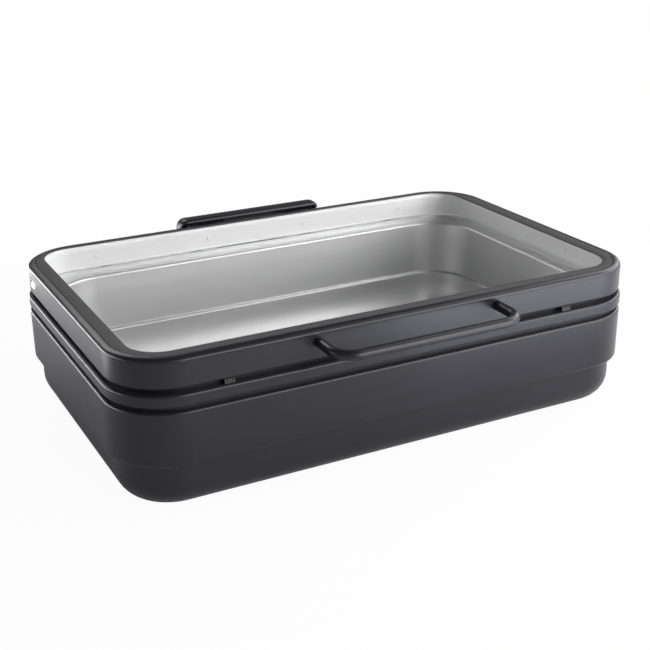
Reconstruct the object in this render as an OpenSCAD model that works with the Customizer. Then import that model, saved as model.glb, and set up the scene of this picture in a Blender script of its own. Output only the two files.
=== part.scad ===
// Rectangular chafing dish with a hinged glass lid, sized for a full gastronorm pan.
// Millimetres, Z up, origin on the underside at the middle of the heating base.
// Front is towards -Y, the hinge is at the back towards +Y.

/* [Overall] */
// Width of the opening that takes the pan
well_w = 510; // [440:1:580]
// Depth of the opening that takes the pan
well_d = 304; // [260:1:350]
// Distance from the pan opening to the lid's side faces
lid_over_w = 25; // [24:0.5:32]
// Distance from the pan opening to the lid's front and back faces
lid_over_d = 27; // [26:0.5:34]
// Corner radius of the lid seen from above
corner_r = 58; // [56:1:62]
// How far the body stands out past the lid on every side
body_proud = 2; // [1:0.25:3]
// Open gap between the rim of the body and the lid
lid_gap = 4.9; // [3:0.1:8]
// Gap between the turned-up edges on the body and the lid
edge_gap = 0.8; // [0.6:0.1:2]

/* [Body shell] */
// Sheet thickness of the outer shell
shell_t = 1.5; // [1:0.1:2]
// Lift of the shell's underside above the heating base
shell_lift = 0.8; // [0.4:0.1:2]
// Radius of the rounded lower edge of the shell
base_edge_r = 26; // [18:1:32]
// Height of the step round the shell
step_z = 47; // [40:1:52]
// Width of the step, from the wall in to the base
step_w = 7; // [6:0.5:10]
// Radius of the rolled edge above the step
step_edge_r = 5; // [3:0.5:6]
// Height of the wall from the step to the groove
wall_h = 55.1; // [45:0.1:70]
// Radius of the edge at the top of the wall
wall_edge_r = 2.5; // [2.2:0.1:3.5]
// Height of the shadow groove under the rim
groove_h = 4.1; // [3:0.1:6]
// Depth of the shadow groove
groove_depth = 6; // [5:0.5:8]
// Width of the flange that carries the rim
seat_w = 9; // [7:0.5:11]

/* [Rim frame] */
// Height of the rim frame
rim_h = 12.3; // [10:0.1:16]
// Wall thickness of the rim frame
rim_t = 2; // [1.5:0.1:2.4]
// Radius of the rim frame's outer edges
rim_edge_r = 2.5; // [2.5:0.1:4]
// Width of the rim frame's top flange
rim_top_w = 19; // [17:0.5:20]
// Thickness of the rim frame's turned-up inner edge
rim_edge_t = 1.5; // [1:0.1:1.5]
// Gap between the rim frame's turned-up edge and the lip of the tub
rim_edge_gap = 0.5; // [0.3:0.1:0.5]
// Width of the rim frame's lower flange
rim_foot_w = 14; // [13:0.5:16]
// Shank diameter of the rivets in the rim frame
rim_rivet_d = 4; // [3:0.5:4.5]
// Sideways place of the inner pair of rim rivets
rim_rivet_x_in = 60; // [40:1:90]
// Sideways place of the outer pair of rim rivets
rim_rivet_x_out = 180; // [130:1:210]
// Place of the rim rivets on the sides, from the middle
rim_rivet_y = 60; // [30:1:100]

/* [Water tub] */
// Corner radius of the pan opening
well_r = 55; // [50:1:60]
// Sheet thickness of the tub
tub_t = 1; // [0.8:0.1:1.4]
// Width of the lip round the pan opening
tub_lip_w = 15; // [13:0.5:16]
// Corner radius of the lip's outer edge
tub_lip_r = 48; // [42:1:52]
// Radius of the edge where the lip turns down
tub_edge_r = 4; // [3:0.5:6]
// How far the wall leans in on its way down to the inner step
tub_lean = 3; // [1:0.5:5]
// Height of the inner step above the tub floor
sump_h = 50.5; // [40:0.5:54]
// Radius of the hollow above the inner step
sump_hollow_r = 4; // [3:0.5:6]
// Flat width of the inner step
sump_ledge_w = 1.5; // [1:0.5:4]
// Radius of the edge of the inner step
sump_edge_r = 3.5; // [2:0.5:5]
// Radius where the lower wall meets the floor
floor_r = 25; // [18:1:28]

/* [Heating base] */
// Thickness of the heating base under the tub
plate_t = 6; // [4:0.5:8]
// How far the heating base stays inside the pan opening
plate_inset = 50; // [45:1:80]
// Corner radius of the heating base
plate_r = 14; // [8:1:24]
// Gap between the heating base and the shell's cut-out
plate_gap = 1.5; // [0.5:0.5:4]

/* [Lid bumpers] */
// Sideways place of the bumpers from the middle
bumper_x = 183; // [140:1:200]
// Length of a bumper along the rim
bumper_l = 10; // [7:0.5:16]
// Depth of a bumper across the rim
bumper_d = 6; // [4:0.5:7]
// Distance of a bumper from the outer face of the rim
bumper_inset = 3; // [2.5:0.5:4]
// Gap between a bumper and the closed lid
bumper_gap = 0.3; // [0.2:0.1:0.5]
// Ribs on each bumper
bumper_ribs = 4; // [3:1:6]

/* [Lid band and bezel] */
// Height of the lid's outer band
band_h = 24; // [22:0.5:32]
// Wall thickness of the band
band_t = 1.5; // [1.2:0.1:2]
// Radius of the band's lower edge
band_edge_r = 2; // [2:0.1:3]
// Width of the band's turned-in lower edge
band_lip_w = 6.5; // [4:0.5:7]
// Height of the bezel on top of the band
bezel_h = 4.5; // [4.2:0.1:7]
// Width of the bezel
bezel_w = 6.7; // [6:0.1:8]
// Step between the band's face and the bezel's face
bezel_inset = 0.3; // [0:0.1:1]
// Radius of the bezel's shoulder
bezel_r = 4; // [3:0.1:4.2]

/* [Glass and seal] */
// Thickness of the glass
glass_t = 4; // [3:0.5:5]
// Width of the seal that shows beside the glass at the front and the sides
seal_w = 14; // [11:0.5:16]
// Width of the seal that shows beside the glass at the back
seal_back_w = 3.8; // [3.6:0.1:16]
// Thickness of the seal above and below the glass
seal_lip_t = 1.2; // [0.8:0.1:1.6]
// Thickness of the seal outside the glass edge
seal_wall = 2.5; // [2:0.1:3]
// Corner radius of the clear glass
seal_corner_r = 32; // [26:1:37]
// How far the seal sits below the top of the bezel
seal_sink = 0.3; // [0:0.1:1]
// Gap between the seal and its neighbours
seal_gap = 0.2; // [0.1:0.1:0.4]

/* [Lid liner] */
// Distance of the liner's inner face from the lid's outer face
liner_inset = 9; // [8:0.5:11]
// Sheet thickness of the liner
liner_t = 1; // [0.8:0.1:1.2]
// Width of the liner's shelf that carries the seal, inwards of its wall
liner_shelf_w = 1.5; // [1:0.5:8]
// Gap between the liner and the band
liner_gap = 0.2; // [0.1:0.1:0.4]
// Radius of the bead along the liner's lower edge
liner_bead_r = 1.3; // [1:0.1:1.5]
// Height of the liner rivets above the lid's lower edge
rivet_z = 12.5; // [10:0.1:15]
// Sideways place of the inner pair of liner rivets
rivet_x_in = 61; // [40:1:80]
// Sideways place of the outer pair of liner rivets
rivet_x_out = 194; // [150:1:210]
// Place of the liner rivets on the sides, from the middle
rivet_y = 62; // [30:1:100]
// Head diameter of the liner rivets
rivet_head_d = 5; // [4:0.5:7]
// Head height of the liner rivets
rivet_head_h = 1; // [0.6:0.1:1.5]
// Shank diameter of the liner rivets
rivet_d = 3; // [2:0.5:3.5]

/* [Side studs] */
// Place of the side studs behind the middle
stud_y = 112; // [60:1:114]
// Height of the side studs above the lid's lower edge
stud_z = 11; // [8:0.1:15]
// Head diameter of the side studs
stud_d = 9.5; // [7:0.5:12]
// Head height of the side studs
stud_h = 1.4; // [1:0.1:2.5]

/* [Handle] */
// Sideways place of the handle's posts
handle_x = 96.5; // [70:0.5:130]
// Distance of the bar's centre from the lid's front face
handle_reach = 43; // [36:1:56]
// Height of the handle above the lid's lower edge
handle_z = 17; // [13:0.5:17]
// Diameter of the handle bar
handle_d = 10; // [9:0.5:12]
// Bend radius at the middle of the bar
handle_bend_r = 20; // [14:1:26]
// Diameter of the handle screws
handle_screw_d = 5; // [4:0.5:5.5]
// How far the handle screws reach into the posts
handle_screw_l = 12; // [8:1:16]

/* [Hinge] */
// Distance of the hinge pin behind the lid
pin_back = 14.5; // [14.5:0.1:18]
// Depth of the hinge pin below the top of the lid
pin_drop = 7.5; // [6:0.5:9]
// Diameter of the hinge pin
pin_d = 6; // [5:0.5:6.5]
// Sideways place of the lid arms
arm_x = 55; // [50:1:60]
// Width of a lid arm
arm_w = 21; // [16:0.5:23]
// Radius of the eye of a lid arm
arm_eye_r = 7.5; // [6.5:0.1:8]
// Thickness of a lid arm's foot
arm_foot_t = 3; // [2.5:0.1:4]
// Width of a bracket lug
lug_w = 10; // [8:0.5:11]
// Radius of the eye of a bracket lug
lug_eye_r = 7; // [6.5:0.1:8]
// Sideways gap between lugs, arms and damper
hinge_gap = 0.4; // [0.3:0.1:0.8]
// Wall thickness of the hinge bushes
bush_t = 1.5; // [1:0.1:2]
// Width of the hinge bracket
bracket_w = 166; // [160:1:190]
// Thickness of the hinge bracket's plate
bracket_t = 3; // [2.5:0.1:4]
// Distance of a lug neck's back edge in front of the hinge pin
lug_back = 4.5; // [4:0.1:6]
// Gap between the top of the bracket's plate and the top of the rim
bracket_sink = 1.5; // [1:0.1:4]
// Height of the hinge bracket's lower edge
bracket_z = 60; // [56:1:66]
// Running clearance round the hinge pin
pin_clearance = 0.05; // [0.03:0.01:0.08]
// Clearance of the fixed fits
fit_clearance = 0.02; // [0.01:0.01:0.05]

/* [Hinge hood] */
// Outer radius of the hood about the hinge pin
hood_r = 13; // [12.5:0.1:13.5]
// Wall thickness of the hood
hood_t = 2; // [1.5:0.1:2.2]
// Width of the hood
hood_w = 178; // [176:1:200]
// Radius of the hood's rounded ends
hood_end_r = 9; // [6:0.5:10]
// Angle where the hood starts, up from the front
hood_from = 31; // [25:1:40]
// Angle where the hood ends, round to the back
hood_to = 195; // [180:1:200]

/* [Screws] */
// Diameter of the bracket screws
bracket_screw_d = 5; // [4:0.5:6]
// Diameter of the arm screws
arm_screw_d = 4; // [3:0.5:5]
// Diameter of the hood screws
hood_screw_d = 3; // [2:0.5:3]
// Gap between a screw and its hole, on the diameter
hole_gap = 0.3; // [0.2:0.1:0.5]

/* [Hidden] */
$fn = 72;

// Heights, from the underside up
wall_top_z = step_z + wall_h;
rim_z = wall_top_z + groove_h;
rim_top_z = rim_z + rim_h;
lid_z = rim_top_z + lid_gap;
band_top_z = lid_z + band_h;
lid_top_z = band_top_z + bezel_h;
seal_top_z = lid_top_z - seal_sink;
glass_z = seal_top_z - seal_lip_t - glass_t;
seal_z = glass_z - seal_lip_t;
shelf_z = seal_z - liner_t;
floor_z = plate_t + tub_t;
ledge_z = floor_z + sump_h;

// Plan sizes that follow the pan opening
lid_w = well_w + 2 * lid_over_w;
lid_d = well_d + 2 * lid_over_d;
plate_w = well_w - 2 * plate_inset;
plate_d = well_d - 2 * plate_inset;

// Middles of the plan corners, shared by the lid, the rim and the shell
mid_x = lid_w / 2 - corner_r;
mid_y = lid_d / 2 - corner_r;
lid_back_y = lid_d / 2;
body_back_y = lid_back_y + body_proud;
body_r = corner_r + body_proud;
upstand_h = lid_gap - edge_gap;
upstand_r = corner_r - min(lid_over_w, lid_over_d) + tub_lip_w + rim_edge_gap;
base_r = body_r - step_w;

// Middles of the tub's plan corners
well_mid_x = well_w / 2 - well_r;
well_mid_y = well_d / 2 - well_r;
sump_r = well_r - tub_lean - sump_hollow_r - sump_ledge_w - sump_edge_r;

// Radial sizes on the lid, from the plan corner's middle
bezel_out_r = corner_r - bezel_inset;
bezel_in_r = bezel_out_r - bezel_w;
seal_out_r = bezel_in_r - seal_gap;
glass_r = seal_out_r - seal_wall;
clear_r = bezel_in_r - seal_w;
clear_shift = (seal_w - seal_back_w) / 2;
liner_r = corner_r - liner_inset;
shelf_out_r = corner_r - band_t - liner_gap;
bead_lift = 0.2;

// Hinge places
pin_y = lid_back_y + pin_back;
pin_z = lid_top_z - pin_drop;
pin_r = pin_d / 2;
bush_r = pin_r + pin_clearance + bush_t;
lug_offset = arm_w / 2 + hinge_gap + lug_w / 2;
lug_places = [-arm_x - lug_offset, -arm_x + lug_offset, arm_x - lug_offset, arm_x + lug_offset];
lug_end = arm_x + lug_offset + lug_w / 2;
pin_over = 3;
pin_half = lug_end + pin_over;
clip_t = 1;
clip_r = pin_r + 2;

// Depths in front of the pin and heights above it, for the outlines of the hinge pieces
body_u = pin_back - body_proud;
plate_u = body_u - bracket_t;
shoulder_v = -12;
neck_v = -6;
crest_u = lug_eye_r - 0.8;
crest_v = 3.2;
rib_run = 22;
arm_foot_low = -18;
arm_foot_high = 1;
arm_web_low = -10.5;
arm_web_v = 5;
arm_screw_v = -14.5;
arm_screw_dx = arm_w / 2 - 4.5;
saddle_from = 62;
saddle_to = 168;
saddle_gap = 0.1;
hood_screw_angle = 150;
hood_screw_l = hood_t + 2;

// Screw places on the bracket: sideways, height
rim_screw_z = rim_z + rim_h / 2;
wall_screw_up = 14;
wall_screw_z = bracket_z + wall_screw_up;
wall_screw_x = 16;
bracket_screw_places = [
    [-arm_x, rim_screw_z], [arm_x, rim_screw_z],
    [-arm_x, wall_screw_z], [arm_x, wall_screw_z], [-wall_screw_x, wall_screw_z], [wall_screw_x, wall_screw_z]
];
screw_head_h = 2.6;
bracket_screw_head_d = 1.8 * bracket_screw_d;
bracket_screw_l = bracket_t + shell_t + 1;
handle_screw_head_d = handle_screw_d + 1.8;
arm_screw_head_d = 1.7 * arm_screw_d;
arm_screw_head_h = 0.5 * arm_screw_d;
arm_screw_l = arm_foot_t + band_t + 2;
hood_screw_head_d = 1.8 * hood_screw_d;
hood_screw_head_h = 0.4 * hood_screw_d;
rim_rivet_head_d = 1.7 * rim_rivet_d;
rim_rivet_head_h = 0.4 * rim_rivet_d;
rim_rivet_place = body_r - groove_depth - shell_t - rim_rivet_head_d / 2 - hole_gap;
rim_rivet_places_x = [-rim_rivet_x_out, -rim_rivet_x_in, rim_rivet_x_in, rim_rivet_x_out];
liner_rivet_places_x = [-rivet_x_out, -rivet_x_in, rivet_x_in, rivet_x_out];

satin_black = "#37373d";
deep_black = "#232327";
steel = "#b9bbbd";
bright_steel = "#dcdee0";

// Flat shapes

// Upright rectangle between two corners of a profile
module strip(x0, z0, x1, z1) {
    translate([x0, z0])
        square([x1 - x0, z1 - z0]);
}

// Quarter ring for a bend in a sheet: outer radius, thickness and first angle
module bend(x, z, r, t, first) {
    translate([x, z])
        intersection() {
            difference() {
                circle(r);
                circle(r - t);
            }
            rotate(first)
                square(r);
        }
}

// Rounded rectangle about the middle, from its half sizes and corner radius
module rounded(half_w, half_d, r) {
    square([2 * half_w, 2 * (half_d - r)], center = true);
    square([2 * (half_w - r), 2 * half_d], center = true);
    for (sx = [-1, 1], sy = [-1, 1])
        translate([sx * (half_w - r), sy * (half_d - r)])
            circle(r);
}

// Rounded rectangle of the lid at a radial size
module lid_outline(r) {
    rounded(mid_x + r, mid_y + r, r);
}

// Sweeps

// Carries a profile round a rounded rectangle whose corner middles lie at half sizes x and y
module ring_sweep(x, y) {
    for (turn = [0 : 3]) {
        sx = turn == 0 || turn == 3 ? 1 : -1;
        sy = turn < 2 ? 1 : -1;
        run = turn % 2 == 0 ? y : x;
        translate([sx * x, sy * y, 0])
            rotate(90 * turn)
                rotate_extrude(angle = 90)
                    children();
        translate([sx * x, sy * y, 0])
            rotate([90, 0, 90 * turn])
                linear_extrude(2 * run)
                    children();
    }
}

// Cylinder along X from a point
module bar_x(x, y, z, d, l) {
    translate([x, y, z])
        rotate([0, 90, 0])
            cylinder(h = l, d = d);
}

// Cylinder along Y from a point
module bar_y(x, y, z, d, l) {
    translate([x, y, z])
        rotate([-90, 0, 0])
            cylinder(h = l, d = d);
}

// Button head with a curved face, along +Z from the origin
module dome_head(d, h) {
    ball_r = (d * d / 4 + h * h) / (2 * h);
    intersection() {
        cylinder(h = h, d = d);
        translate([0, 0, h - ball_r])
            sphere(ball_r);
    }
}

// Rivet along +Z: a domed head above zero, a shank below
module rivet(d, head_d, head_h, l) {
    dome_head(head_d, head_h);
    translate([0, 0, -l])
        cylinder(h = l, d = d);
}

// Screw along +Z: a rivet's form with a hexagon socket in its head
module screw(d, head_d, head_h, l) {
    socket_r = 0.3 * d;
    socket_floor = 0.4 * head_h;
    difference() {
        rivet(d, head_d, head_h, l);
        translate([0, 0, socket_floor])
            linear_extrude(head_h)
                circle(socket_r, $fn = 6);
    }
}

// Hinge view: first axis to the front, second axis up, both from the pin
module hinge_view(x) {
    translate([x, pin_y, pin_z])
        rotate([90, 0, -90])
            children();
}

// Body

module shell_profile() {
    groove_r = body_r - groove_depth;
    seat_in = groove_r - seat_w;
    strip(seat_in, rim_z - shell_t, groove_r, rim_z);
    strip(groove_r - shell_t, wall_top_z - shell_t, groove_r, rim_z);
    strip(groove_r - shell_t, wall_top_z - shell_t, body_r - wall_edge_r, wall_top_z);
    bend(body_r - wall_edge_r, wall_top_z - wall_edge_r, wall_edge_r, shell_t, 0);
    strip(body_r - shell_t, step_z + step_edge_r, body_r, wall_top_z - wall_edge_r);
    bend(body_r - step_edge_r, step_z + step_edge_r, step_edge_r, shell_t, 270);
    strip(base_r - shell_t, step_z, body_r - step_edge_r, step_z + shell_t);
    strip(base_r - shell_t, shell_lift + base_edge_r, base_r, step_z + shell_t);
    bend(base_r - base_edge_r, shell_lift + base_edge_r, base_edge_r, shell_t, 270);
    strip(0, shell_lift, base_r - base_edge_r, shell_lift + shell_t);
}

// Middle of a floor sheet, between the corner middles
module floor_middle(half_w, half_d, z, t) {
    translate([-half_w, -half_d, z])
        cube([2 * half_w, 2 * half_d, t]);
}

module plate_cutout() {
    linear_extrude(2 * plate_t, center = true)
        rounded(plate_w / 2 + plate_gap, plate_d / 2 + plate_gap, plate_r + plate_gap);
}

module bracket_screw_holes() {
    first_y = body_back_y - 2 * groove_depth;
    for (place = bracket_screw_places)
        bar_y(place[0], first_y, place[1], bracket_screw_d + hole_gap, 3 * groove_depth);
}

// Every rivet place in the rim: two rows of four and two rows of two
module at_rim_rivets() {
    for (side = [-1, 1]) {
        for (x = rim_rivet_places_x)
            translate([x, side * (mid_y + rim_rivet_place), 0])
                children();
        for (y = [-rim_rivet_y, rim_rivet_y])
            translate([side * (mid_x + rim_rivet_place), y, 0])
                children();
    }
}

module outer_shell() {
    color(satin_black)
        difference() {
            union() {
                ring_sweep(mid_x, mid_y)
                    shell_profile();
                floor_middle(mid_x, mid_y, shell_lift, shell_t);
            }
            plate_cutout();
            bracket_screw_holes();
            at_rim_rivets()
                translate([0, 0, rim_z - 2 * shell_t])
                    cylinder(h = 3 * shell_t, d = rim_rivet_d + hole_gap);
        }
}

module rim_profile() {
    edge = body_r - rim_edge_r;
    strip(body_r - rim_t, rim_z + rim_edge_r, body_r, rim_top_z - rim_edge_r);
    bend(edge, rim_top_z - rim_edge_r, rim_edge_r, rim_t, 0);
    bend(edge, rim_z + rim_edge_r, rim_edge_r, rim_t, 270);
    strip(body_r - rim_top_w, rim_top_z - rim_t, edge, rim_top_z);
    strip(upstand_r, rim_top_z - rim_t, upstand_r + rim_edge_t, rim_top_z + upstand_h);
    strip(body_r - rim_foot_w, rim_z, edge, rim_z + rim_t);
}

module rim_frame() {
    color(satin_black)
        difference() {
            ring_sweep(mid_x, mid_y)
                rim_profile();
            bracket_screw_holes();
            at_rim_rivets()
                translate([0, 0, rim_z - rim_t])
                    cylinder(h = 3 * rim_t, d = rim_rivet_d + hole_gap);
        }
}

module rim_rivets() {
    color(steel)
        at_rim_rivets() {
            translate([0, 0, rim_z + rim_t])
                rivet(rim_rivet_d, rim_rivet_head_d, rim_rivet_head_h, rim_t + shell_t);
            translate([0, 0, rim_z - shell_t])
                mirror([0, 0, 1])
                    dome_head(rim_rivet_head_d, rim_rivet_head_h);
        }
}

// The tub wall leans in evenly between the lip and the inner step
module tub_wall() {
    top = rim_top_z + tub_t - tub_edge_r;
    foot = ledge_z + sump_hollow_r;
    polygon([
        [well_r, top], [well_r + tub_t, top],
        [well_r - tub_lean + tub_t, foot], [well_r - tub_lean, foot]
    ]);
}

module tub_profile() {
    hollow_x = well_r - tub_lean - sump_hollow_r;
    ledge_x = hollow_x - sump_ledge_w;
    lip_in = well_r + tub_edge_r;
    strip(lip_in, rim_top_z, well_r + tub_lip_w, rim_top_z + tub_t);
    bend(lip_in, rim_top_z + tub_t - tub_edge_r, tub_edge_r, tub_t, 90);
    tub_wall();
    bend(hollow_x, ledge_z + sump_hollow_r, sump_hollow_r + tub_t, tub_t, 270);
    strip(ledge_x, ledge_z - tub_t, hollow_x, ledge_z);
    bend(ledge_x, ledge_z - sump_edge_r, sump_edge_r, tub_t, 90);
    strip(sump_r, floor_z + floor_r, sump_r + tub_t, ledge_z - sump_edge_r);
    bend(sump_r - floor_r, floor_z + floor_r, floor_r + tub_t, tub_t, 270);
    strip(0, floor_z - tub_t, sump_r - floor_r, floor_z);
}

// The lip's squarer outer corners lie over the swept lip and carry its turned-up edge
module tub_lip_edge() {
    lip_mid = well_r + (tub_edge_r + tub_lip_w) / 2;
    translate([0, 0, rim_top_z])
        linear_extrude(tub_t)
            difference() {
                rounded(well_w / 2 + tub_lip_w, well_d / 2 + tub_lip_w, tub_lip_r);
                rounded(well_mid_x + lip_mid, well_mid_y + lip_mid, lip_mid);
            }
    translate([0, 0, rim_top_z])
        linear_extrude(upstand_h)
            difference() {
                rounded(well_w / 2 + tub_lip_w, well_d / 2 + tub_lip_w, tub_lip_r);
                rounded(well_w / 2 + tub_lip_w - tub_t, well_d / 2 + tub_lip_w - tub_t, tub_lip_r - tub_t);
            }
}

module water_tub() {
    color(steel) {
        ring_sweep(well_mid_x, well_mid_y)
            tub_profile();
        tub_lip_edge();
        floor_middle(well_mid_x, well_mid_y, floor_z - tub_t, tub_t);
    }
}

module heating_base() {
    color(steel)
        linear_extrude(plate_t)
            rounded(plate_w / 2, plate_d / 2, plate_r);
}

module bumper() {
    pitch = bumper_l / bumper_ribs;
    rib_l = 0.7 * pitch;
    rib_h = lid_gap - bumper_gap;
    sole_h = rib_h / 3;
    translate([-bumper_l / 2, 0, 0])
        cube([bumper_l, bumper_d, sole_h]);
    for (i = [0 : bumper_ribs - 1])
        translate([-bumper_l / 2 + i * pitch, 0, 0])
            cube([rib_l, bumper_d, rib_h]);
}

module lid_bumpers() {
    color("#4a4a50")
        for (side = [0, 1], x = [-bumper_x, bumper_x])
            mirror([0, side, 0])
                translate([x, bumper_inset - body_back_y, rim_top_z])
                    bumper();
}

// Hinge, fixed half

// Neck of a bracket lug, from the plate up to the eye
module lug_outline(low_v) {
    circle(lug_eye_r);
    polygon([
        [plate_u, low_v], [body_u, low_v], [body_u, shoulder_v], [crest_u, crest_v],
        [0, 0], [lug_back, neck_v], [lug_back, low_v + rib_run]
    ]);
}

module hinge_bracket() {
    low_v = bracket_z - pin_z;
    plate_h = rim_top_z - bracket_sink - bracket_z;
    color(satin_black)
        difference() {
            union() {
                translate([-bracket_w / 2, body_back_y, bracket_z])
                    cube([bracket_w, bracket_t, plate_h]);
                for (x = lug_places)
                    hinge_view(x)
                        linear_extrude(lug_w, center = true)
                            difference() {
                                lug_outline(low_v);
                                circle(bush_r + fit_clearance);
                            }
            }
            bracket_screw_holes();
        }
}

module hinge_bushes() {
    color("#8d7a4e")
        for (x = lug_places)
            hinge_view(x)
                linear_extrude(lug_w, center = true)
                    difference() {
                        circle(bush_r);
                        circle(pin_r + pin_clearance);
                    }
}

module hinge_damper() {
    half = arm_x - lug_offset - lug_w / 2 - hinge_gap;
    low_v = rim_z - pin_z;
    color(deep_black)
        hinge_view(0)
            linear_extrude(2 * half, center = true)
                difference() {
                    union() {
                        circle(lug_eye_r);
                        polygon([
                            [lug_back, low_v], [plate_u, low_v], [plate_u, shoulder_v],
                            [crest_u, crest_v], [0, 0], [lug_back, neck_v]
                        ]);
                    }
                    circle(pin_r + pin_clearance);
                }
}

module bracket_screws() {
    color(bright_steel)
        for (place = bracket_screw_places)
            translate([place[0], body_back_y + bracket_t, place[1]])
                rotate([-90, 0, 0])
                    screw(bracket_screw_d, bracket_screw_head_d, screw_head_h, bracket_screw_l);
}

// Lid

module band_profile() {
    edge = corner_r - band_edge_r;
    strip(corner_r - band_t, lid_z + band_edge_r, corner_r, band_top_z);
    bend(edge, lid_z + band_edge_r, band_edge_r, band_t, 270);
    strip(corner_r - band_lip_w, lid_z, edge, lid_z + band_t);
}

module at_handle_screws() {
    for (side = [-1, 1])
        translate([side * handle_x, -lid_back_y, lid_z + handle_z])
            children();
}

module at_arm_screws() {
    for (x = [-arm_x, arm_x], dx = [-arm_screw_dx, arm_screw_dx])
        translate([x + dx, lid_back_y, pin_z + arm_screw_v])
            children();
}

module at_side_studs() {
    for (side = [0, 1])
        mirror([side, 0, 0])
            translate([lid_w / 2, stud_y, lid_z + stud_z])
                rotate([0, 90, 0])
                    children();
}

module lid_band() {
    through = 4 * band_t;
    color(satin_black)
        difference() {
            ring_sweep(mid_x, mid_y)
                band_profile();
            at_handle_screws()
                rotate([90, 0, 0])
                    cylinder(h = through, d = handle_screw_d + hole_gap, center = true);
            at_arm_screws()
                rotate([90, 0, 0])
                    cylinder(h = through, d = arm_screw_d + hole_gap, center = true);
            at_side_studs()
                cylinder(h = through, d = stud_d / 2 + hole_gap, center = true);
        }
}

module bezel_profile() {
    strip(bezel_in_r, band_top_z, bezel_out_r - bezel_r, lid_top_z);
    strip(bezel_in_r, band_top_z, bezel_out_r, lid_top_z - bezel_r);
    bend(bezel_out_r - bezel_r, lid_top_z - bezel_r, bezel_r, bezel_r, 0);
}

module lid_bezel() {
    color(satin_black)
        ring_sweep(mid_x, mid_y)
            bezel_profile();
}

module glass_seal() {
    color(deep_black)
        difference() {
            translate([0, 0, seal_z])
                linear_extrude(seal_top_z - seal_z)
                    difference() {
                        lid_outline(seal_out_r);
                        translate([0, clear_shift])
                            rounded(mid_x + clear_r, mid_y + clear_r + clear_shift, seal_corner_r);
                    }
            translate([0, 0, glass_z])
                linear_extrude(glass_t)
                    lid_outline(glass_r + fit_clearance);
        }
}

module lid_glass() {
    color("#dfe7ea", 0.3)
        translate([0, 0, glass_z])
            linear_extrude(glass_t)
                lid_outline(glass_r);
}

module liner_profile() {
    bead_z = lid_z + liner_bead_r + bead_lift;
    strip(liner_r, bead_z, liner_r + liner_t, shelf_z + liner_t);
    strip(liner_r - liner_shelf_w, shelf_z, shelf_out_r, shelf_z + liner_t);
    strip(shelf_out_r - liner_t, shelf_z, shelf_out_r, band_top_z - liner_gap);
    translate([liner_r + liner_t - liner_bead_r, bead_z])
        circle(liner_bead_r);
}

// Every liner rivet place, with +Z pointing into the lid
module at_liner_rivets() {
    for (side = [0, 180]) {
        for (x = liner_rivet_places_x)
            rotate(side)
                translate([x, mid_y + liner_r, lid_z + rivet_z])
                    rotate([90, 0, 0])
                        children();
        for (y = [-rivet_y, rivet_y])
            rotate(side)
                translate([mid_x + liner_r, y, lid_z + rivet_z])
                    rotate([0, -90, 0])
                        children();
    }
}

module lid_liner() {
    color(bright_steel)
        difference() {
            ring_sweep(mid_x, mid_y)
                liner_profile();
            at_liner_rivets()
                cylinder(h = 4 * liner_t, d = rivet_d + hole_gap, center = true);
        }
}

// The rivets reach from the liner's inner face to the inside of the band
module liner_rivets() {
    color(bright_steel)
        at_liner_rivets()
            rivet(rivet_d, rivet_head_d, rivet_head_h, liner_inset - band_t);
}

module side_studs() {
    color(bright_steel)
        at_side_studs()
            rivet(stud_d / 2, stud_d, stud_h, 2 * band_t);
}

module handle() {
    post_l = handle_reach - handle_bend_r;
    color(satin_black)
        difference() {
            translate([0, -lid_back_y, lid_z + handle_z]) {
                for (side = [0, 1])
                    mirror([side, 0, 0]) {
                        bar_y(handle_x, -post_l, 0, handle_d, post_l);
                        translate([handle_x - handle_bend_r, -post_l, 0])
                            rotate(270)
                                rotate_extrude(angle = 90)
                                    translate([handle_bend_r, 0])
                                        circle(d = handle_d);
                    }
                bar_x(handle_bend_r - handle_x, -handle_reach, 0, handle_d, 2 * (handle_x - handle_bend_r));
            }
            at_handle_screws()
                rotate([90, 0, 0])
                    cylinder(h = handle_screw_l + 2, d = handle_screw_d + hole_gap);
        }
}

module handle_screws() {
    color(bright_steel)
        at_handle_screws()
            translate([0, band_t, 0])
                rotate([-90, 0, 0])
                    screw(handle_screw_d, handle_screw_head_d, screw_head_h, handle_screw_l + band_t);
}

// Hinge, moving half

// Wedge from the pin outwards, between two angles under 180 degrees apart
module wedge(from, to, r) {
    polygon([
        [0, 0],
        [r * cos(from), r * sin(from)],
        [r * cos((from + to) / 2), r * sin((from + to) / 2)] * 2,
        [r * cos(to), r * sin(to)]
    ]);
}

module arm_outline() {
    foot_u = pin_back - arm_foot_t;
    saddle_r = hood_r - hood_t - saddle_gap;
    translate([foot_u, arm_foot_low])
        square([arm_foot_t, arm_foot_high - arm_foot_low]);
    polygon([
        [foot_u, arm_web_low], [foot_u, arm_foot_high], [arm_web_v, arm_web_v],
        [0, 0], [arm_web_v, -arm_web_v]
    ]);
    circle(arm_eye_r);
    intersection() {
        circle(saddle_r);
        wedge(saddle_from, saddle_to, 2 * saddle_r);
    }
}

module hinge_arm(x) {
    color(satin_black)
        difference() {
            hinge_view(x)
                linear_extrude(arm_w, center = true)
                    difference() {
                        arm_outline();
                        circle(pin_r + fit_clearance);
                    }
            at_arm_screws()
                rotate([90, 0, 0])
                    cylinder(h = 4 * arm_foot_t, d = arm_screw_d + hole_gap, center = true);
            at_hood_screws()
                cylinder(h = 2 * hood_screw_l + 1, d = hood_screw_d + hole_gap, center = true);
        }
}

module left_hinge_arm() {
    hinge_arm(-arm_x);
}

module right_hinge_arm() {
    hinge_arm(arm_x);
}

module arm_screws() {
    color(bright_steel)
        at_arm_screws()
            translate([0, arm_foot_t, 0])
                rotate([-90, 0, 0])
                    screw(arm_screw_d, arm_screw_head_d, arm_screw_head_h, arm_screw_l);
}

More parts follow.
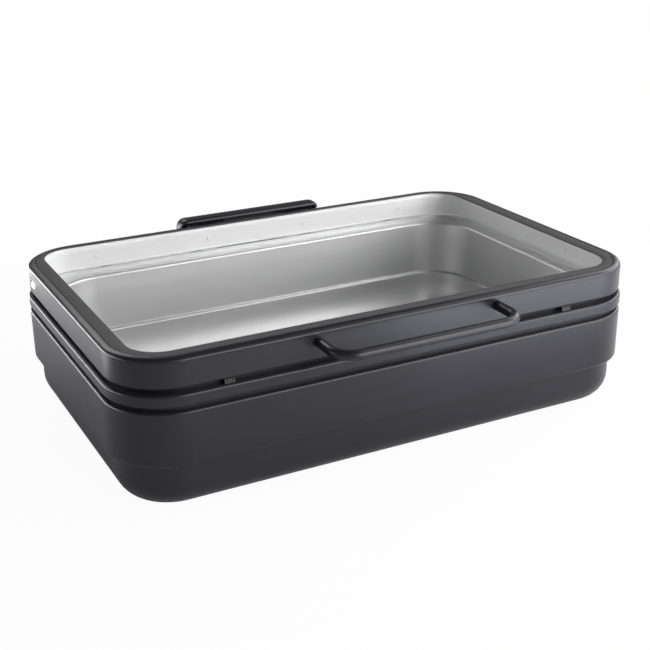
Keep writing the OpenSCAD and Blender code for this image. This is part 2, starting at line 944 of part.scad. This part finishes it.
module hinge_pin() {
    color(bright_steel)
        bar_x(-pin_half, pin_y, pin_z, pin_d, 2 * pin_half);
}

module pin_clips() {
    color(steel)
        for (side = [-1, 1])
            hinge_view(side * (lug_end + hinge_gap + clip_t / 2))
                linear_extrude(clip_t, center = true)
                    difference() {
                        circle(clip_r);
                        circle(pin_r + fit_clearance);
                    }
}

// Half outline of the hood along the pin, rounded at both ends
module hood_outline(r, half_w, end_r) {
    translate([0, -half_w])
        square([r - end_r, 2 * half_w]);
    translate([0, end_r - half_w])
        square([r, 2 * (half_w - end_r)]);
    intersection() {
        for (side = [-1, 1])
            translate([r - end_r, side * (half_w - end_r)])
                circle(end_r);
        translate([0, -half_w])
            square([r, 2 * half_w]);
    }
}

module at_hood_screws() {
    for (x = [-arm_x, arm_x])
        hinge_view(x)
            rotate(hood_screw_angle)
                translate([hood_r, 0, 0])
                    rotate([0, 90, 0])
                        children();
}

module hinge_hood() {
    color(satin_black)
        difference() {
            hinge_view(0)
                rotate(hood_from)
                    rotate_extrude(angle = hood_to - hood_from)
                        difference() {
                            hood_outline(hood_r, hood_w / 2, hood_end_r);
                            hood_outline(hood_r - hood_t, hood_w / 2 - hood_t, hood_end_r - hood_t);
                        }
            at_hood_screws()
                cylinder(h = 2 * hood_screw_l + 1, d = hood_screw_d + hole_gap, center = true);
        }
}

module hood_screws() {
    color(bright_steel)
        at_hood_screws()
            screw(hood_screw_d, hood_screw_head_d, hood_screw_head_h, hood_screw_l);
}

outer_shell();
rim_frame();
rim_rivets();
water_tub();
heating_base();
lid_bumpers();
hinge_bracket();
hinge_bushes();
hinge_damper();
bracket_screws();
lid_band();
lid_bezel();
glass_seal();
lid_glass();
lid_liner();
liner_rivets();
side_studs();
handle();
handle_screws();
left_hinge_arm();
right_hinge_arm();
arm_screws();
hinge_pin();
pin_clips();
hinge_hood();
hood_screws();
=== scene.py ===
"""Chafing dish with a hinged glass lid: finishes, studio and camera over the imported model."""
import math

import bmesh
import bpy
from mathutils import Matrix, Vector


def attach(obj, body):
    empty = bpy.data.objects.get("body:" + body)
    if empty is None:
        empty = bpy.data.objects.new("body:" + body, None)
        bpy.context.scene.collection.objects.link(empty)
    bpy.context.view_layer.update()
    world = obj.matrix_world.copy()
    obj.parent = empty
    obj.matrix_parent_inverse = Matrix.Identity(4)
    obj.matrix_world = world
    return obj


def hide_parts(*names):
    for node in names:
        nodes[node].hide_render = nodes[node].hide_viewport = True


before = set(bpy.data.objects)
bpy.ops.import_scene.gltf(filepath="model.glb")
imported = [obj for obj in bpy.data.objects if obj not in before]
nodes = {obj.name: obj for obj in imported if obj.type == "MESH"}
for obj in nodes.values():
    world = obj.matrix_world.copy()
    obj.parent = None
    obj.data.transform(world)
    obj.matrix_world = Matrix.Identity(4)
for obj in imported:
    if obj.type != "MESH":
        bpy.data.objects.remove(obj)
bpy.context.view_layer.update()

# Camera, found by fitting the dish's edges to the photograph: degrees, metres and millimetres
CAMERA_AZIMUTH = -27.17
CAMERA_ELEVATION = 21.64
CAMERA_ROLL = -0.63
CAMERA_DISTANCE = 1.25889
CAMERA_TARGET = Vector((0.00176, 0.0, 0.07561))
CAMERA_LENS_MM = 64.694
CAMERA_SENSOR_MM = 36.0

# Studio walls: sine of the elevation, and the grey there
WORLD_RAMP = [(0.2, 0.18), (0.4, 0.17), (0.7, 0.03)]

# Floor: half its side and how far it lies under the dish, in metres
FLOOR_HALF = 6.0
FLOOR_DROP = 0.0002
FLOOR_GREY = 0.86
# Share of plain white in what the camera sees of the floor close to the dish.
# It grows to all white between two distances from the middle of the dish.
FLOOR_SHOWN_WHITE = 0.95
FLOOR_FADE = (0.5, 1.1)

# Lamps, in metres and watts. Softboxes face LAMP_AIM; floor panels face straight up.
LAMP_AIM = (0.0, 0.0, 0.1)
PLAIN_WHITE = (1.0, 1.0, 1.0)
COOL_WHITE = (0.86, 0.91, 1.0)
PANEL_HEIGHT = 0.01
# Name, place, width, height, power
SOFTBOXES = [
    ("low_key", (0.752, -1.476, 0.482), 1.6, 0.5, 16.2),
    ("front_key", (0.681, -1.337, 0.898), 1.6, 0.9, 10.9),
    ("side_key", (1.291, -0.904, 0.737), 1.3, 0.8, 8.6),
    ("right_box", (1.535, 0.134, 0.90), 1.6, 1.2, 20.0),
    ("line_box", (0.82, -0.22, 1.57), 0.4, 0.4, 2.4),
    ("left_low", (-1.63, 0.44, 0.30), 1.7, 0.26, 3.0),
    ("crown_box", (-0.24, 1.38, 1.10), 0.8, 0.44, 5.2),
    ("liner_box", (-1.45, 0.97, 0.27), 2.0, 0.32, 15.0),
]
# Name, place on the floor, width, depth, power, tint
FLOOR_PANELS = [
    ("right_panel", (0.60, -0.80), 0.9, 0.8, 11.8, COOL_WHITE),
    ("left_panel", (-0.70, 0.35), 0.5, 0.5, 3.6, PLAIN_WHITE),
    ("left_rear_panel", (-0.55, 0.75), 0.5, 0.4, 6.4, PLAIN_WHITE),
]

# Which node wears which finish
COATED = ["outer_shell", "rim_frame", "hinge_bracket", "lid_band", "lid_bezel", "handle",
          "left_hinge_arm", "right_hinge_arm", "hinge_hood"]
STAINLESS = ["water_tub", "heating_base", "rim_rivets", "pin_clips"]
LINER_STEEL = ["lid_liner", "liner_rivets"]
POLISHED = ["side_studs", "handle_screws", "arm_screws", "hood_screws",
            "bracket_screws", "hinge_pin"]

MM = 0.001
CORNER_STEPS = 28
BEND_STEPS = 10
SHARP_DEGREES = 40.0
WELD_DISTANCE = 1e-7

# Thin forms that the camera reads closely, in millimetres.
# A radius is measured from the middle of a plan corner.
LID_CORNER = (222.0, 121.0)
LID_TOP = 151.9
BAND_TOP = 147.4
BEZEL_OUT = 57.7
BEZEL_IN = 50.2
BEZEL_CROWN = 4.0
BEZEL_EASE = 0.4
BEZEL_POWER = 2.3
SEAL_OUT = 50.0
SEAL_Z = (150.4, 151.6)
GLASS_Z = (146.4, 150.4)
CLEAR_CORNER = (227.0, 131.1)
CLEAR_R = 32.0
CLEAR_SHIFT = 5.1
WELL_CORNER = (200.0, 97.0)
LIP_CORNER = (222.0, 119.0)
LIP_R = 48.0
TUB_SHEET = 1.0


def ring(corner, radius, z, shift=0.0):
    """Points round a rounded rectangle at one height, in metres."""
    points = []
    for quarter, (sx, sy) in enumerate([(1, 1), (-1, 1), (-1, -1), (1, -1)]):
        for step in range(CORNER_STEPS + 1):
            turn = math.pi / 2 * (quarter + step / CORNER_STEPS)
            points.append((MM * (sx * corner[0] + radius * math.cos(turn)),
                           MM * (sy * corner[1] + radius * math.sin(turn) + shift), MM * z))
    return points


def arc(middle, radii, start, end, power=2.0):
    """Radius and height along part of an ellipse, or of a squarer curve where power is above 2."""
    places = []
    for step in range(BEND_STEPS + 1):
        turn = math.radians(start + (end - start) * step / BEND_STEPS)
        places.append(tuple(m + r * math.copysign(abs(v) ** (2.0 / power), v)
                            for m, r, v in zip(middle, radii, (math.cos(turn), math.sin(turn)))))
    return places


def bend(middle, radius, start, end):
    """Radius and height along part of a circle."""
    return arc(middle, (radius, radius), start, end)


def stand_in(mesh, body, stands_for):
    """A smooth-shaded piece that takes the place of one CAD node."""
    mesh.polygons.foreach_set("use_smooth", [True] * len(mesh.polygons))
    mesh.set_sharp_from_angle(angle=math.radians(SHARP_DEGREES))
    piece = bpy.data.objects.new(mesh.name, mesh)
    bpy.context.scene.collection.objects.link(piece)
    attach(piece, body)
    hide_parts(stands_for)
    return piece


def new_mesh(name, points, faces):
    mesh = bpy.data.meshes.new(name)
    mesh.from_pydata(points, [], faces)
    mesh.validate()
    return mesh


def loft(name, rings, capped, body, stands_for):
    """A piece through rings of equal length: a closed tube, or a solid closed by its end rings."""
    count = len(rings[0])
    points = [point for one in rings for point in one]
    faces = []
    for k in range(len(rings) - (1 if capped else 0)):
        here, there = k * count, (k + 1) % len(rings) * count
        for i in range(count):
            j = (i + 1) % count
            faces.append((here + i, here + j, there + j, there + i))
    if capped:
        faces.append(tuple(reversed(range(count))))
        faces.append(tuple(range(len(points) - count, len(points))))
    mesh = new_mesh(name, points, faces)
    whole = bmesh.new()
    whole.from_mesh(mesh)
    bmesh.ops.remove_doubles(whole, verts=whole.verts, dist=WELD_DISTANCE)
    bmesh.ops.recalc_face_normals(whole, faces=whole.faces)
    whole.to_mesh(mesh)
    whole.free()
    return stand_in(mesh, body, stands_for)


def crowned_bezel():
    """Lid border whose land falls away to the outside in one full crown."""
    crown_mid = (BEZEL_IN + BEZEL_EASE, LID_TOP - BEZEL_CROWN)
    crown_size = (BEZEL_OUT - BEZEL_IN - BEZEL_EASE, BEZEL_CROWN)
    profile = [(BEZEL_IN, BAND_TOP), (BEZEL_OUT, BAND_TOP)]
    profile += arc(crown_mid, crown_size, 0.0, 90.0, BEZEL_POWER)
    profile.append((BEZEL_IN, LID_TOP - BEZEL_EASE))
    rings = [ring(LID_CORNER, r, z) for r, z in profile]
    return loft("crowned_bezel", rings, False, "lid", "lid_bezel")


def glass_gasket():
    """Rubber strip over the edge of the glass, feathered towards the clear opening."""
    low, top = SEAL_Z
    ease, feather, lip = 0.3, 1.2, 0.4
    rings = [ring(LID_CORNER, SEAL_OUT, low),
             ring(LID_CORNER, SEAL_OUT, top - ease),
             ring(LID_CORNER, SEAL_OUT - ease, top),
             ring(CLEAR_CORNER, CLEAR_R + feather, top, CLEAR_SHIFT),
             ring(CLEAR_CORNER, CLEAR_R, low + lip, CLEAR_SHIFT),
             ring(CLEAR_CORNER, CLEAR_R, low, CLEAR_SHIFT)]
    return loft("glass_gasket", rings, False, "lid", "glass_seal")


def liner_wall():
    """Steel liner of the lid: beaded foot, flange into the band, and a ledge under the glass."""
    inner, outer = 49.0, 50.0
    bead_mid, bead_r, bead_from = (48.7, 124.9), 1.3, 76.7
    ledge_r, ledge_t = 47.6, 1.0
    flange_r, flange_z, flange_top, t = 56.3, 144.2, 147.2, 1.0
    pane_low, pane_high = GLASS_Z
    profile = [(outer, pane_high), (inner, pane_high), (inner, pane_low), (ledge_r, pane_low),
               (ledge_r, pane_low - ledge_t), (inner, pane_low - ledge_t)]
    profile += bend(bead_mid, bead_r, bead_from, 360.0)
    profile += [(outer, flange_z), (flange_r, flange_z), (flange_r, flange_top),
                (flange_r - t, flange_top), (flange_r - t, flange_z + t), (outer, flange_z + t)]
    rings = [ring(LID_CORNER, r, z) for r, z in profile]
    return loft("liner_wall", rings, False, "lid", "lid_liner")


def square_hood():
    """Hinge cover: flat top, rounded front edge above the lid, and a back that follows the pin."""
    pin_y, pin_z = 193.5, 144.4
    radius, front, front_low, front_r = 13.0, 12.5, 9.0, 3.4
    half_w, end_r, wall = 89.0, 9.0, 2.0
    back_end = 195.0
    profile = [(front, front_low)]
    profile += bend((front - front_r, radius - front_r), front_r, 0.0, 90.0)
    profile += bend((0.0, 0.0), radius, 90.0, back_end)
    stations = []
    for side in (-1.0, 1.0):
        for step in range(BEND_STEPS + 1):
            turn = math.pi / 2 * step / BEND_STEPS
            shrink = (radius - end_r + end_r * math.cos(turn)) / radius
            stations.append((side * (half_w - end_r + end_r * math.sin(turn)), shrink))
    stations.sort()
    points = [(MM * x, MM * (pin_y - shrink * u), MM * (pin_z + shrink * v))
              for x, shrink in stations for u, v in profile]
    count = len(profile)
    faces = [(k * count + i, (k + 1) * count + i, (k + 1) * count + i + 1, k * count + i + 1)
             for k in range(len(stations) - 1) for i in range(count - 1)]
    faces.append(tuple(range(count)))
    faces.append(tuple(reversed(range(len(points) - count, len(points)))))
    hood = stand_in(new_mesh("square_hood", points, faces), "lid", "hinge_hood")
    sheet = hood.modifiers.new("sheet", "SOLIDIFY")
    sheet.thickness = wall * MM
    sheet.offset = -1.0
    return hood


def drawn_tub():
    """Deep-drawn tub: turned-up lip, leaning wall, one close step, a long curve into the floor."""
    rim_top, lip_top, edge_top = 118.5, 119.5, 123.8
    lip_in, lip_bend = 57.5, 2.5
    ledge, hollow, step_edge = 57.5, 1.0, 2.0
    hollow_mid, edge_mid = 51.0, 49.2
    floor, foot_mid = 7.0, 17.2
    foot = (30.0, 42.0)
    t = TUB_SHEET

    def face(depth):
        """One face of the sheet from the lip to the floor, this far behind the inner face."""
        places = bend((lip_in, lip_top - lip_bend), lip_bend - depth, 90.0, 180.0)
        places += bend((hollow_mid, ledge + hollow), hollow + depth, 0.0, -90.0)
        places += bend((edge_mid, ledge - step_edge), step_edge - depth, 90.0, 180.0)
        foot_size = (foot[0] + depth, foot[1] + depth)
        places += arc((foot_mid, floor + foot[1]), foot_size, 0.0, -90.0)
        return places + [(foot_mid - t, floor - depth)]

    rings = [ring(WELL_CORNER, r, z) for r, z in reversed(face(t))]
    rings += [ring(LIP_CORNER, LIP_R, rim_top), ring(LIP_CORNER, LIP_R, edge_top),
              ring(LIP_CORNER, LIP_R - t, edge_top), ring(LIP_CORNER, LIP_R - t, lip_top)]
    rings += [ring(WELL_CORNER, r, z) for r, z in face(0.0)]
    return loft("drawn_tub", rings, True, "base", "water_tub")


class Graph:
    """A material's node tree, with short calls for the nodes the finishes share."""

    def __init__(self, name):
        self.material = bpy.data.materials.new(name)
        self.material.use_nodes = True
        self.tree = self.material.node_tree
        self.shader = self.tree.nodes["Principled BSDF"]

    def add(self, kind):
        return self.tree.nodes.new(kind)

    def link(self, out, into):
        self.tree.links.new(out, into)

    def set(self, **values):
        """Fixed values on the shader's own sockets."""
        for key, value in values.items():
            self.shader.inputs[key.replace("_", " ")].default_value = value

    def drive(self, socket, out):
        """A shader socket that follows another node."""
        self.link(out, self.shader.inputs[socket])

    def position(self, stretch=(1.0, 1.0, 1.0)):
        """Object coordinates in metres, stretched along the axes."""
        source = self.add("ShaderNodeTexCoord")
        mapping = self.add("ShaderNodeMapping")
        mapping.inputs["Scale"].default_value = stretch
        self.link(source.outputs["Object"], mapping.inputs["Vector"])
        return mapping.outputs["Vector"]

    def noise(self, vector, scale, detail=4.0, roughness=0.55):
        made = self.add("ShaderNodeTexNoise")
        made.inputs["Scale"].default_value = scale
        made.inputs["Detail"].default_value = detail
        made.inputs["Roughness"].default_value = roughness
        self.link(vector, made.inputs["Vector"])
        return made.outputs["Fac"]

    def ramp(self, value, stops):
        """Colours along a value from 0 to 1: stops are (place, grey or colour)."""
        made = self.add("ShaderNodeValToRGB")
        marks = made.color_ramp.elements
        for mark, (place, colour) in zip(marks, stops):
            mark.position = place
            rgb = (colour,) * 3 if isinstance(colour, float) else tuple(colour)
            mark.color = rgb + (1.0,)
        self.link(value, made.inputs["Fac"])
        return made.outputs["Color"]

    def spread(self, value, low, high):
        """A value from 0 to 1 laid over another range."""
        made = self.add("ShaderNodeMapRange")
        made.inputs["To Min"].default_value = low
        made.inputs["To Max"].default_value = high
        self.link(value, made.inputs["Value"])
        return made.outputs["Result"]

    def bump(self, height, strength, distance):
        made = self.add("ShaderNodeBump")
        made.inputs["Strength"].default_value = strength
        made.inputs["Distance"].default_value = distance
        self.link(height, made.inputs["Height"])
        self.drive("Normal", made.outputs["Normal"])


def satin_coat():
    """Anthracite powder coat: fine orange peel, faint cloudiness in colour and gloss."""
    g = Graph("satin_coat")
    place = g.position()
    cloud = g.noise(place, scale=14.0, detail=3.0)
    dark, light = (0.0135, 0.0128, 0.0185), (0.0165, 0.0158, 0.0225)
    g.drive("Base Color", g.ramp(cloud, [(0.3, dark), (0.7, light)]))
    gloss = g.noise(place, scale=60.0, detail=5.0)
    g.drive("Roughness", g.spread(gloss, low=0.27, high=0.35))
    g.set(Specular_IOR_Level=0.35)
    g.bump(g.noise(place, scale=1400.0, detail=2.0), strength=0.10, distance=0.0004)
    return g.material


def seal_rubber():
    """Matte grained rubber round the glass."""
    g = Graph("seal_rubber")
    grain = g.noise(g.position(), scale=1800.0, detail=3.0, roughness=0.7)
    g.drive("Base Color", g.ramp(grain, [(0.3, 0.060), (0.7, 0.100)]))
    g.set(Roughness=0.78, Specular_IOR_Level=0.3)
    g.bump(grain, strength=0.35, distance=0.0004)
    return g.material


def bumper_rubber():
    """Dark grained rubber of the ribbed pads."""
    g = Graph("bumper_rubber")
    grain = g.noise(g.position(), scale=2400.0, detail=3.0, roughness=0.7)
    g.drive("Base Color", g.ramp(grain, [(0.3, 0.022), (0.7, 0.038)]))
    g.set(Roughness=0.6)
    g.bump(grain, strength=0.3, distance=0.0003)
    return g.material


def drawn_steel(name, grey, rough, streak, metal):
    """Satin stainless sheet: fine lengthwise grinding lines and soft clouding."""
    g = Graph(name)
    lines = g.noise(g.position((6.0, 6.0, 900.0)), scale=1.0, detail=6.0, roughness=0.65)
    cloud = g.noise(g.position(), scale=9.0, detail=3.0)
    clouded = 0.94
    g.drive("Base Color", g.ramp(cloud, [(0.3, grey * clouded), (0.7, grey)]))
    g.drive("Roughness", g.spread(lines, low=rough - 0.05, high=rough + 0.06))
    g.set(Metallic=metal)
    g.bump(lines, strength=streak, distance=0.0001)
    return g.material


def polished_steel():
    """Bright fasteners with faint handling marks in the gloss."""
    g = Graph("polished_steel")
    marks = g.noise(g.position(), scale=420.0, detail=4.0)
    g.drive("Base Color", g.ramp(marks, [(0.3, 0.78), (0.7, 0.86)]))
    g.drive("Roughness", g.spread(marks, low=0.10, high=0.20))
    g.set(Metallic=1.0)
    return g.material


def clear_glass():
    """Toughened glass, almost clear, with the faintest unevenness in its gloss."""
    g = Graph("clear_glass")
    haze = g.noise(g.position(), scale=11.0, detail=3.0)
    dull, bright = (0.96, 0.98, 0.975), (0.985, 0.995, 0.99)
    g.drive("Roughness", g.spread(haze, low=0.0, high=0.02))
    g.drive("Base Color", g.ramp(haze, [(0.3, dull), (0.7, bright)]))
    g.set(Transmission_Weight=1.0, IOR=1.5, Alpha=0.10)
    return g.material


def bush_bronze():
    """Sintered bronze with dark pores."""
    g = Graph("bush_bronze")
    pores = g.noise(g.position(), scale=2600.0, detail=3.0, roughness=0.7)
    pore, metal = (0.22, 0.15, 0.06), (0.48, 0.36, 0.17)
    g.drive("Base Color", g.ramp(pores, [(0.35, pore), (0.6, metal)]))
    g.set(Metallic=1.0, Roughness=0.45)
    g.bump(pores, strength=0.25, distance=0.0002)
    return g.material


def damper_case():
    """Black moulded case with a fine spark texture."""
    g = Graph("damper_case")
    spark = g.noise(g.position(), scale=1500.0, detail=4.0, roughness=0.7)
    g.drive("Base Color", g.ramp(spark, [(0.3, 0.018), (0.7, 0.028)]))
    g.set(Roughness=0.62)
    g.bump(spark, strength=0.3, distance=0.0003)
    return g.material


def dress(names, material):
    for name in names:
        slots = nodes[name].data.materials
        slots.clear()
        slots.append(material)


def dress_all():
    """A finish on every CAD node, and on the pieces that stand for five of them."""
    coat = satin_coat()
    steel = drawn_steel("stainless", grey=0.66, rough=0.45, streak=0.01, metal=1.0)
    rubber = seal_rubber()
    liner_steel = drawn_steel("liner_steel", grey=0.90, rough=0.60, streak=0.02, metal=0.2)
    dress(COATED, coat)
    dress(STAINLESS, steel)
    dress(LINER_STEEL, liner_steel)
    dress(POLISHED, polished_steel())
    dress(["glass_seal"], rubber)
    dress(["lid_bumpers"], bumper_rubber())
    dress(["lid_glass"], clear_glass())
    dress(["hinge_bushes"], bush_bronze())
    dress(["hinge_damper"], damper_case())
    for build, material in [(crowned_bezel, coat), (glass_gasket, rubber), (drawn_tub, steel),
                            (liner_wall, liner_steel), (square_hood, coat)]:
        build().data.materials.append(material)


def seen_straight(tree):
    """1 for the rays that come straight from the camera."""
    return tree.nodes.new("ShaderNodeLightPath").outputs["Is Camera Ray"]


def white_share(tree):
    """How much of the floor shows as plain white: all of it far from the dish, less close by."""
    place = tree.nodes.new("ShaderNodeTexCoord")
    reach = tree.nodes.new("ShaderNodeVectorMath")
    reach.operation = "LENGTH"
    fade = tree.nodes.new("ShaderNodeMapRange")
    near, far = FLOOR_FADE
    fade.inputs["From Min"].default_value = near
    fade.inputs["From Max"].default_value = far
    fade.inputs["To Min"].default_value = FLOOR_SHOWN_WHITE
    fade.inputs["To Max"].default_value = 1.0
    share = tree.nodes.new("ShaderNodeMath")
    share.operation = "MULTIPLY"
    tree.links.new(place.outputs["Object"], reach.inputs[0])
    tree.links.new(reach.outputs["Value"], fade.inputs["Value"])
    tree.links.new(seen_straight(tree), share.inputs[0])
    tree.links.new(fade.outputs["Result"], share.inputs[1])
    return share.outputs[0]


def floor_white():
    """Pale paint that shows white to the camera and lets part of the dish's shadow through."""
    material = bpy.data.materials.new("floor_white")
    material.use_nodes = True
    tree = material.node_tree
    shader = tree.nodes["Principled BSDF"]
    shader.inputs["Base Color"].default_value = (FLOOR_GREY, FLOOR_GREY, FLOOR_GREY, 1.0)
    shader.inputs["Roughness"].default_value = 0.8
    shader.inputs["Specular IOR Level"].default_value = 0.1
    glow = tree.nodes.new("ShaderNodeEmission")
    mix = tree.nodes.new("ShaderNodeMixShader")
    tree.links.new(white_share(tree), mix.inputs["Fac"])
    tree.links.new(shader.outputs[0], mix.inputs[1])
    tree.links.new(glow.outputs[0], mix.inputs[2])
    tree.links.new(mix.outputs[0], tree.nodes["Material Output"].inputs["Surface"])
    return material


def make_floor():
    side = FLOOR_HALF
    corners = [(-side, -side, 0), (side, -side, 0), (side, side, 0), (-side, side, 0)]
    mesh = bpy.data.meshes.new("floor")
    mesh.from_pydata(corners, [], [(0, 1, 2, 3)])
    floor = bpy.data.objects.new("floor", mesh)
    bpy.context.scene.collection.objects.link(floor)
    floor.location.z = -FLOOR_DROP
    mesh.materials.append(floor_white())


def make_world():
    """Studio walls that darken upwards; where they are looked at they show white."""
    world = bpy.data.worlds.new("studio")
    bpy.context.scene.world = world
    world.use_nodes = True
    tree = world.node_tree
    light = tree.nodes["Background"]
    white = tree.nodes.new("ShaderNodeBackground")
    white.inputs["Color"].default_value = (1.0, 1.0, 1.0, 1.0)
    direction = tree.nodes.new("ShaderNodeTexCoord")
    split = tree.nodes.new("ShaderNodeSeparateXYZ")
    walls = tree.nodes.new("ShaderNodeValToRGB")
    marks = walls.color_ramp.elements
    marks.new(0.5)
    for mark, (height, grey) in zip(marks, WORLD_RAMP):
        mark.position = height
        mark.color = (grey, grey, grey, 1.0)
    mix = tree.nodes.new("ShaderNodeMixShader")
    tree.links.new(direction.outputs["Generated"], split.inputs[0])
    tree.links.new(split.outputs["Z"], walls.inputs["Fac"])
    tree.links.new(walls.outputs["Color"], light.inputs["Color"])
    tree.links.new(seen_straight(tree), mix.inputs["Fac"])
    tree.links.new(light.outputs[0], mix.inputs[1])
    tree.links.new(white.outputs[0], mix.inputs[2])
    tree.links.new(mix.outputs[0], tree.nodes["World Output"].inputs["Surface"])


def area_lamp(name, place, aim, width, height, watts, tint):
    lamp = bpy.data.lights.new(name, "AREA")
    lamp.color = tint
    lamp.shape = "RECTANGLE"
    lamp.size = width
    lamp.size_y = height
    lamp.energy = watts
    box = bpy.data.objects.new(name, lamp)
    box.location = place
    box.rotation_mode = "QUATERNION"
    box.rotation_quaternion = (Vector(aim) - Vector(place)).to_track_quat("-Z", "Y")
    bpy.context.scene.collection.objects.link(box)
    return box


def make_lights():
    """Softboxes round the dish, and glowing panels on the floor that its upright faces mirror."""
    for name, place, width, height, watts in SOFTBOXES:
        area_lamp(name, place, LAMP_AIM, width, height, watts, PLAIN_WHITE)
    for name, (x, y), width, depth, watts, tint in FLOOR_PANELS:
        straight_up = (x, y, 1.0)
        panel = area_lamp(name, (x, y, PANEL_HEIGHT), straight_up, width, depth, watts, tint)
        panel.visible_camera = False


def make_camera():
    azimuth = math.radians(CAMERA_AZIMUTH)
    elevation = math.radians(CAMERA_ELEVATION)
    roll = math.radians(CAMERA_ROLL)
    back = Vector((math.sin(azimuth) * math.cos(elevation),
                   -math.cos(azimuth) * math.cos(elevation), math.sin(elevation)))
    level = (-back).cross(Vector((0, 0, 1))).normalized()
    upright = level.cross(-back)
    right = math.cos(roll) * level + math.sin(roll) * upright
    up = -math.sin(roll) * level + math.cos(roll) * upright
    data = bpy.data.cameras.new("camera")
    data.sensor_width = CAMERA_SENSOR_MM
    data.lens = CAMERA_LENS_MM
    camera = bpy.data.objects.new("camera", data)
    turn = Matrix((right, up, back)).transposed().to_4x4()
    camera.matrix_world = Matrix.Translation(CAMERA_TARGET + back * CAMERA_DISTANCE) @ turn
    bpy.context.scene.collection.objects.link(camera)
    bpy.context.scene.camera = camera


bpy.context.scene.view_settings.view_transform = "Standard"
make_camera()
make_world()
make_floor()
make_lights()
dress_all()
